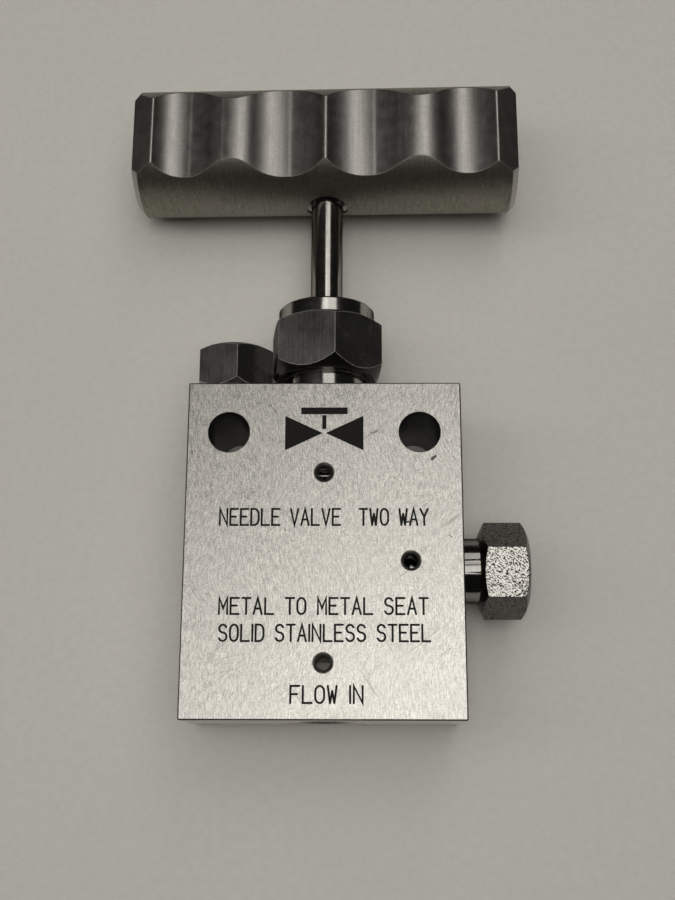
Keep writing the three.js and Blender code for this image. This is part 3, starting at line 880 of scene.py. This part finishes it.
INNER_VALLEY = (10.6, 10.8, 18.0)
OUTER_VALLEY = (37.0, 11.0, 13.5)
CREST_RADIUS = 12.7
END_SLOPE = 0.5
BAR_ENDS = {-1: (45.4, 50.7), 1: (44.6, 50.05)}  # distances of each side's last ridge and of its end
BAR_CHAMFER = 1.5
MIDDLE_ROUNDING, END_ROUNDING = 1.0, 0.65  # how far each ridge's rounding reaches
ARC_STEPS = 48
TOOL_LINES = (-35.5, -26.8, -9.3, 12.8, 19.2)  # where one cutter pass stops and leaves a faint step


def arc(centre, radius, start, end, steps=ARC_STEPS):
    angles = [start + (end - start) * k / steps for k in range(steps + 1)]
    return [(centre[0] + radius * math.cos(a), centre[1] + radius * math.sin(a)) for a in angles]


def direction(start, end):
    return math.atan2(end[1] - start[1], end[0] - start[0])


def scallop_quarter(ridge_x, end_x):
    """The finger scallops from the middle ridge to an end, as (along the bar, away from its axis)."""
    inner = (INNER_VALLEY[0], INNER_VALLEY[1] + INNER_VALLEY[2])
    outer = (OUTER_VALLEY[0], OUTER_VALLEY[1] + OUTER_VALLEY[2])
    span = math.dist(inner, outer)
    to_inner, to_outer = INNER_VALLEY[2] + CREST_RADIUS, OUTER_VALLEY[2] + CREST_RADIUS
    along = (to_inner**2 - to_outer**2 + span**2) / (2 * span)
    down = direction(inner, outer) - math.acos(along / to_inner)
    crest = (inner[0] + to_inner * math.cos(down), inner[1] + to_inner * math.sin(down))
    middle = -math.pi + math.acos(inner[0] / INNER_VALLEY[2])
    ridge = -math.acos((ridge_x - outer[0]) / OUTER_VALLEY[2])
    line = (
        arc(inner, INNER_VALLEY[2], middle, direction(inner, crest))
        + arc(crest, CREST_RADIUS, direction(crest, inner), direction(crest, outer))[1:]
        + arc(outer, OUTER_VALLEY[2], direction(outer, crest), ridge)[1:]
    )
    ridge_depth = line[-1][1]

    def end_point(x):
        return x, ridge_depth - END_SLOPE * (x - ridge_x)

    line = softened(line + [end_point(end_x)], len(line) - 1, END_ROUNDING)
    return line[:-1] + [end_point(end_x - BAR_CHAMFER), line[-1]]


def softened(points, corner, reach, steps=7):
    """The same line with one sharp corner replaced by a curve that starts and ends that far from it."""
    here = Vector(points[corner])
    first = max(k for k in range(corner) if (Vector(points[k]) - here).length > reach)
    last = min(k for k in range(corner + 1, len(points)) if (Vector(points[k]) - here).length > reach)
    start = here + (Vector(points[first]) - here).normalized() * reach
    end = here + (Vector(points[last]) - here).normalized() * reach
    curve = []
    for k in range(steps + 1):
        t = k / steps
        curve.append(tuple(start * (1 - t) ** 2 + here * 2 * t * (1 - t) + end * t**2))
    return points[: first + 1] + curve + points[last:]


def tool_step(x):
    """A step of a few hundredths of a millimetre at each tool line, evened out on both sides of it."""
    height, width, fade = 0.09, 0.8, 4.0
    total = 0.0
    for line in TOOL_LINES:
        away = x - line
        if abs(away) < fade:
            total -= height / 2 * max(-1.0, min(1.0, 2 * away / width)) * (1 - abs(away) / fade)
    return total


def scallop_line():
    left = [(-x, d) for x, d in reversed(scallop_quarter(*BAR_ENDS[-1]))]
    whole = softened(left + scallop_quarter(*BAR_ENDS[1])[1:], len(left) - 1, MIDDLE_ROUNDING)
    return [(x, d + tool_step(x)) for x, d in whole]


def bar_section(radius, depth, edge=0.22, flat_steps=3, edge_steps=3, round_steps=40):
    """A round section with a flat in front and behind, as points in the (y, z) plane."""
    inner = radius - edge
    flat = math.sqrt(inner**2 - (depth - edge) ** 2)
    lean = math.atan2(depth - edge, flat)
    right = []
    for k in range(edge_steps + 1):
        angle = math.pi / 2 + (lean - math.pi / 2) * k / edge_steps
        right.append((flat + edge * math.cos(angle), depth - edge + edge * math.sin(angle)))
    for k in range(1, round_steps):
        angle = lean - 2 * lean * k / round_steps
        right.append((radius * math.cos(angle), radius * math.sin(angle)))
    right += [(y, -z) for y, z in reversed(right[: edge_steps + 1])]
    across = [(flat - 2 * flat * k / flat_steps, -depth) for k in range(1, flat_steps)]
    left = [(-y, z) for y, z in reversed(right)]
    front = [(-y, -z) for y, z in across]
    return right + across + left + front


def make_handle():
    points, rings = [], []
    for x, depth in scallop_line():
        to_end = BAR_ENDS[1 if x > 0 else -1][1] - abs(x)
        radius = min(BAR_RADIUS, BAR_RADIUS - BAR_CHAMFER + to_end)
        section = bar_section(radius, depth)
        rings.append(range(len(points), len(points) + len(section)))
        points += [(x, BAR_Y + y, z) for y, z in section]
    faces = [list(rings[0]), list(rings[-1])]
    for low, high in zip(rings, rings[1:]):
        for k in range(len(low)):
            following = (k + 1) % len(low)
            faces.append([low[k], low[following], high[following], high[k]])
    bar = paint(mesh_object("handle_bar", points, faces), "scallop")
    underside = BAR_Y - BAR_RADIUS
    rod = ROD_RADIUS + 0.15
    socket = lathe("rod_socket", [
        (0, underside - OVERSHOOT), (rod + 1.2, underside - OVERSHOOT),
        (rod + 1.2, underside + 0.9), (rod, underside + 2.1), (rod, STEM_HIGH.y + 0.3),
        (0, STEM_HIGH.y + 0.3),
    ], COARSE)
    screw_hole = lathe("screw_hole", [
        (0, -BAR_RADIUS), (3.9, -BAR_RADIUS), (3.9, -14.6), (3.15, -13.6),
        (3.15, -ROD_RADIUS + 1), (0, -ROD_RADIUS + 1),
    ], COARSE)
    on_front(screw_hole, 0, BAR_Y)
    # The rod socket's counterbore is painted dark: painted shade round the rod.
    combine(bar, [paint(socket, "painted_shade"), paint(screw_hole, "scallop")], "DIFFERENCE")
    smooth(bar, 0.12, limit=32)

    def on_round(centre, normal):
        return math.hypot(centre.y - BAR_Y, centre.z) > BAR_RADIUS - 0.3 and abs(normal.x) < 0.5

    paint_where(bar, "round_bar", on_round)
    paint_where(bar, "end_face", lambda centre, normal: abs(normal.x) > 0.6)
    with_handle(bar)
    piece(bar, "t_handle", "handle")


def make_set_screw():
    head, tip, radius, pitch = -12.4, -4.5, 3.0, 1.0
    shank = lathe("set_screw", [
        (0, head), (radius - 0.6, head),
        *thread_rows(radius, head + 0.5, tip - 1.0, pitch, 0.5), (radius - 1.2, tip), (0, tip),
    ], COARSE, pitch)
    socket = hex_prism("socket", 1.7, 0, head - OVERSHOOT, head + 3)
    combine(shank, [socket], "DIFFERENCE")
    with_handle(on_front(smooth(shank, 0.06), 0, BAR_Y))
    piece(shank, "handle_set_screw", "handle", "black")


# ---- the stem line

ROD_RADIUS = 4.15
DRIVE_RADIUS = 6.9
STEM_PITCH = 1.27
NEEDLE_RADIUS = 3.1
NEEDLE_BORE = 3.16


def make_drive_stem():
    cavity, cavity_top, mouth, thread_top, edge = 5.2, 37.5, STEM_LOW.y, 54.0, 0.5
    top = STEM_HIGH.y
    stem = lathe("drive_stem_rod", [
        (0, cavity_top), (cavity, cavity_top), (cavity, mouth + 0.2), (cavity + 0.2, mouth),
        (DRIVE_RADIUS - 0.7, mouth),
        *thread_rows(DRIVE_RADIUS, mouth + 0.6, thread_top, STEM_PITCH, 0.6),
        (ROD_RADIUS + 0.3, thread_top + 1.3), (ROD_RADIUS, thread_top + 1.8),
        (ROD_RADIUS, top - edge), (ROD_RADIUS - edge, top), (0, top),
    ], 96, STEM_PITCH)
    with_handle(smooth(stem))
    piece(stem, "drive_stem", "handle", "polished")


def make_packing_gland():
    bottom, top = GLAND_LOW.y, GLAND_HIGH.y
    nose, neck, collar, corner, turn = 6.7, 10.15, 12.36, 15.2, 9.45
    hex_bottom, hex_top = 45.2, 60.4
    gland = lathe("gland", [
        (0, bottom), (nose - 0.3, bottom), (nose, bottom + 0.3), (nose, 17.3),
        (neck - 1.0, 17.3), *thread_rows(neck, 18.0, 37.5, PORT_PITCH, 0.8), (neck, 38.2),
        (neck, hex_bottom + OVERSHOOT), (0, hex_bottom + OVERSHOOT),
    ], pitch=PORT_PITCH)
    low_cone, high_cone = (12.6, hex_bottom, 48.4), (collar + 0.25, hex_top, 58.8)
    hexagon = chamfered_hex("gland_hex", corner, turn, low_cone, high_cone)
    edge = 0.55
    cap = lathe("gland_cap", [
        (0, hex_top - OVERSHOOT), (collar, hex_top - OVERSHOOT), (collar, top - edge),
        (collar - edge, top), (0, top),
    ])
    bore = lathe("gland_bore", [
        (0, bottom - OVERSHOOT), (NEEDLE_BORE, bottom - OVERSHOOT), (NEEDLE_BORE, 27.0),
        (DRIVE_RADIUS + 0.07, 27.0), (DRIVE_RADIUS + 0.07, 60.5), (ROD_RADIUS + 0.07, 60.5),
        (ROD_RADIUS + 0.07, top - 0.4), (ROD_RADIUS + 0.5 + OVERSHOOT, top + 0.03 + OVERSHOOT),
        (0, top + 0.03 + OVERSHOOT),
    ])
    combine(gland, [hexagon, cap], "UNION")
    combine(gland, [bore], "DIFFERENCE")
    # The rounded edges get the painted highlight material.
    smooth(paint(gland, "gland"), 0.32, 3, edge_material="painted_edge_highlight")
    on_stem(gland)

    def on_lower_cone(centre, normal):
        return hex_bottom - 0.3 < centre.y < low_cone[2] and -0.95 < normal.y < -0.35

    paint_where(gland, "polished", lambda c, n: c.y < hex_bottom - 0.3 or c.y > hex_top + 0.1)
    # The cone under the hexagon is painted dark: painted shade where it faces the block.
    paint_where(gland, "painted_recess_shade", on_lower_cone)
    piece(gland, "packing_gland", "valve")


def make_lock_screw():
    corner, turn, shank = 10.75, 7.4, 5.0
    head = chamfered_hex("lock_screw", corner, turn, (9.25, 42.1, 43.57), (8.8, LOCK_HIGH.y, 51.95))
    thread = lathe("lock_shank", [
        (0, LOCK_LOW.y), (shank - 1, LOCK_LOW.y),
        *thread_rows(shank, LOCK_LOW.y + 0.6, 41.0, 1.5, 0.7), (shank, 42.1 + OVERSHOOT),
        (0, 42.1 + OVERSHOOT),
    ], COARSE, 1.5)
    combine(head, [thread], "UNION")
    # The rounded edges get the painted highlight material.
    on_stem(smooth(paint(head, "gland"), 0.26, 3, edge_material="painted_edge_highlight"), LOCK_X)
    piece(head, "gland_lock_screw", "valve")
    outer = (WASHER_HIGH.x - WASHER_LOW.x) / 2
    washer = lathe("lock_washer", ring_rows(5.3, outer, WASHER_LOW.y, WASHER_HIGH.y, 0.25))
    on_stem(smooth(washer), LOCK_X)
    piece(washer, "gland_lock_washer", "valve", "gland")


def make_needle():
    tip, head_start = 0.6, 33.0
    low, high = NEEDLE_LOW.y, NEEDLE_HIGH.y
    head = (NEEDLE_HIGH.x - NEEDLE_LOW.x) / 2
    cone = (NEEDLE_RADIUS - tip) / math.tan(math.radians(30))
    needle = lathe("needle_stem", [
        (0, low), (tip - 0.15, low + 0.02), (tip, low + 0.15),
        (NEEDLE_RADIUS - 0.1, low + cone - 0.1), (NEEDLE_RADIUS, low + cone + 0.2),
        (NEEDLE_RADIUS, head_start), (head - 0.2, head_start), (head, head_start + 0.2),
        (head, high - 0.2), (head - 0.2, high), (0, high),
    ], 96)
    on_stem(smooth(needle))
    piece(needle, "needle", "needle_carriage", "polished")


def make_stem_rings():
    """Washers, packing rings and the retaining ring: each fills its CAD node's place."""
    rings = (
        ("packing_bottom_washer", "valve", "bronze", "bronze", NEEDLE_BORE, 0.15),
        ("packing_ring_lower", "valve", "packing_plastic", "plastic", NEEDLE_BORE, 0.3),
        ("packing_ring_middle", "valve", "packing_plastic", "plastic", NEEDLE_BORE, 0.3),
        ("packing_ring_upper", "valve", "packing_plastic", "plastic", NEEDLE_BORE, 0.3),
        ("packing_top_washer", "valve", "bronze", "bronze", NEEDLE_BORE, 0.15),
        ("thrust_washer_lower", "needle_carriage", "bronze", "bronze", NEEDLE_BORE, 0.15),
        ("thrust_washer_upper", "needle_carriage", "bronze", "bronze", 1.5, 0.15),
        ("needle_retainer", "handle", "gland_steel", "gland", NEEDLE_BORE, 0.2),
    )
    for node, body, slot, material, inner, edge in rings:
        low, high = box_mm(node)
        outer = (high.x - low.x) / 2
        ring = lathe(node + "_ring", ring_rows(inner, outer, low.y, high.y, edge), COARSE)
        piece(on_stem(smooth(ring)), node, body, material)


def make_seat_parts():
    outer = (SEAT_HIGH.x - SEAT_LOW.x) / 2
    mouth = 3.0
    throat = SEAT_HIGH.y - (mouth - PASSAGE) / math.tan(math.radians(30))
    seat = lathe("seat_ring", [
        (PASSAGE, SEAT_LOW.y), (outer - 0.2, SEAT_LOW.y), (outer, SEAT_LOW.y + 0.2),
        (outer, SEAT_HIGH.y - 0.2), (outer - 0.2, SEAT_HIGH.y), (mouth, SEAT_HIGH.y),
        (PASSAGE, throat), (PASSAGE, SEAT_LOW.y),
    ])
    piece(on_stem(smooth(seat)), "valve_seat", "valve", "polished")
    cage = lathe("seat_cage", [
        (3.7, CAGE_LOW.y), (outer - 0.2, CAGE_LOW.y), (outer, CAGE_LOW.y + 0.2),
        (outer, CAGE_HIGH.y - 4.2),
        *thread_rows(outer, CAGE_HIGH.y - 4.0, CAGE_HIGH.y - 0.4, 0.75, 0.4),
        (outer - 0.5, CAGE_HIGH.y), (3.9, CAGE_HIGH.y), (3.7, CAGE_HIGH.y - 0.2),
        (3.7, CAGE_LOW.y),
    ], COARSE, 0.75)
    holes = []
    around = 30  # steps round a hole, so that its corners miss the cage's
    for turn in (0, 90):
        hole = lathe("cross_hole", [(0, -9), (1.5, -9), (1.5, 9), (0, 9)], around)
        holes.append(moved(hole, shifted(0, OUTLET_Y, 0) @ rotated(turn, "Y") @ rotated(90, "Z")))
    combine(cage, holes, "DIFFERENCE")
    piece(on_stem(smooth(cage, 0.08)), "seat_retainer", "valve", "gland")


# ---- the outlet

def make_outlet_gland():
    nose, end = OUTLET_LOW.x, OUTLET_HIGH.x
    corner, turn, neck, thread, tube = 11.92, -80.2, 7.97, 8.8, 4.95
    hex_start = 37.5
    gland = lathe("outlet_gland_body", [
        (0, nose), (thread - 1.0, nose),
        *thread_rows(thread, nose + 0.7, 30.5, PORT_PITCH, 0.8), (neck, 31.2),
        (neck, hex_start + OVERSHOOT), (0, hex_start + OVERSHOOT),
    ], pitch=PORT_PITCH)
    hexagon = chamfered_hex("outlet_hex", corner, turn, (8.6, hex_start, 39.02), (9.0, end, 48.03))
    smooth(hexagon, 0.15)
    bore = lathe("tube_bore", [
        (0, nose - OVERSHOOT), (6.5, nose - OVERSHOOT), (6.5, 27.3), (tube, 27.3),
        (tube, end - 0.6), (tube + 0.6 + OVERSHOOT, end + OVERSHOOT), (0, end + OVERSHOOT),
    ])
    combine(gland, [hexagon], "UNION")
    combine(gland, [bore], "DIFFERENCE")
    on_outlet(smooth(gland))
    # Painted shade: the hexagon gets the darker copy of the pitted steel, and only the facet that faces up
    # keeps the plain one.
    paint(gland, "pitted_painted_shade")
    paint_where(gland, "pitted", lambda c, n: n.z > 0.9)
    paint_where(gland, "outlet_polished", lambda c, n: c.x < hex_start + 0.05)
    paint_where(gland, "outlet_polished", lambda c, n: math.hypot(c.y - OUTLET_Y, c.z - STEM_Z) < 5.7)
    piece(gland, "outlet_gland", "valve")


def make_outlet_collar():
    inner = 4.75
    outer = (COLLAR_HIGH.y - COLLAR_LOW.y) / 2
    start, end = COLLAR_LOW.x, COLLAR_HIGH.x
    collar = lathe("outlet_collar_sleeve", [
        (inner, start), (outer - 1.0, start), (outer - 0.1, start + 1.6), (outer, start + 1.9),
        (outer, end - 0.2), (outer - 0.2, end), (inner + 0.2, end), (inner, end - 0.2),
        (inner, start),
    ])
    piece(on_outlet(smooth(collar)), "outlet_collar", "valve", "outlet_polished")


# ---- the stage

def make_floor():
    size = 3.0  # metres from the middle to each side
    corners = [(x * size / MM, y * size / MM, 0) for x, y in ((-1, -1), (1, -1), (1, 1), (-1, 1))]
    floor = mesh_object("floor", corners, [[0, 1, 2, 3]])
    nodes = Nodes("floor_laminate")
    fleck = nodes.noise(scale=0.5, detail=4.0)
    wash = nodes.noise(scale=0.012, detail=2.0)
    color = nodes.tint(fleck, 0.4, 0.6, (0.75, 0.732, 0.69, 1), (0.78, 0.762, 0.72, 1))
    color = nodes.tint(wash, 0.35, 0.65, color, (0.72, 0.702, 0.66, 1), 0.2)
    floor.data.materials.append(nodes.finish(color, 0.6, nodes.bump(fleck, 0.02, 0.3), metallic=0.0))


PANEL_HEIGHT = 1.23  # metres, for every panel


def ceiling_panel(name, low, high, level, glossy=True):
    """A soft rectangular light that faces down, between two corners in metres. level is its brightness."""
    data = bpy.data.lights.new(name, "AREA")
    data.shape = "RECTANGLE"
    data.size = high[0] - low[0]
    data.size_y = high[1] - low[1]
    data.energy = math.pi * data.size * data.size_y * level
    data.color = (1.0, 0.98, 0.93)
    light = bpy.data.objects.new(name, data)
    light.location = ((low[0] + high[0]) / 2, (low[1] + high[1]) / 2, PANEL_HEIGHT)
    light.visible_glossy = glossy
    bpy.context.scene.collection.objects.link(light)


def make_lights():
    ceiling_panel("main_panel", (-0.20, -0.42), (0.48, 0.22), 1.79)
    ceiling_panel("main_panel_core", (-0.195, -0.33), (0.186, 0.09), 2.59)
    ceiling_panel("far_strip", (0.12, 0.30), (0.56, 1.92), 1.2)
    ceiling_panel("rod_strip", (-0.16, 0.42), (0.11, 0.70), 1.7)
    ceiling_panel("left_strip", (-2.0, -0.084), (-0.40, 0.34), 1.6)
    ceiling_panel("table_fill", (-0.8, -0.55), (0.8, 1.05), 0.62, glossy=False)
    world = bpy.data.worlds.new("studio")
    world.use_nodes = True
    world.node_tree.nodes["Background"].inputs["Color"].default_value = (0.012, 0.012, 0.011, 1)
    bpy.context.scene.world = world


CAMERA_PLACE = (7.406, -48.871, 304.516)
CAMERA_TILT, CAMERA_SWING, CAMERA_ROLL = 14.776, 0.885, 0.169
CAMERA_LENS = 47.2


def make_camera():
    data = bpy.data.cameras.new("camera")
    data.lens = CAMERA_LENS
    data.sensor_width = 36.0
    data.clip_start = 0.01
    camera = bpy.data.objects.new("camera", data)
    turn = rotated(CAMERA_SWING, "Y") @ rotated(CAMERA_TILT, "X") @ rotated(CAMERA_ROLL, "Z")
    camera.matrix_world = shifted(*CAMERA_PLACE) @ turn
    bpy.context.scene.collection.objects.link(camera)
    bpy.context.scene.camera = camera


make_block()
make_handle()
make_set_screw()
make_drive_stem()
make_packing_gland()
make_lock_screw()
make_needle()
make_stem_rings()
make_seat_parts()
make_outlet_gland()
make_outlet_collar()
make_floor()
make_lights()
make_camera()
bpy.context.scene.view_settings.view_transform = "Standard"
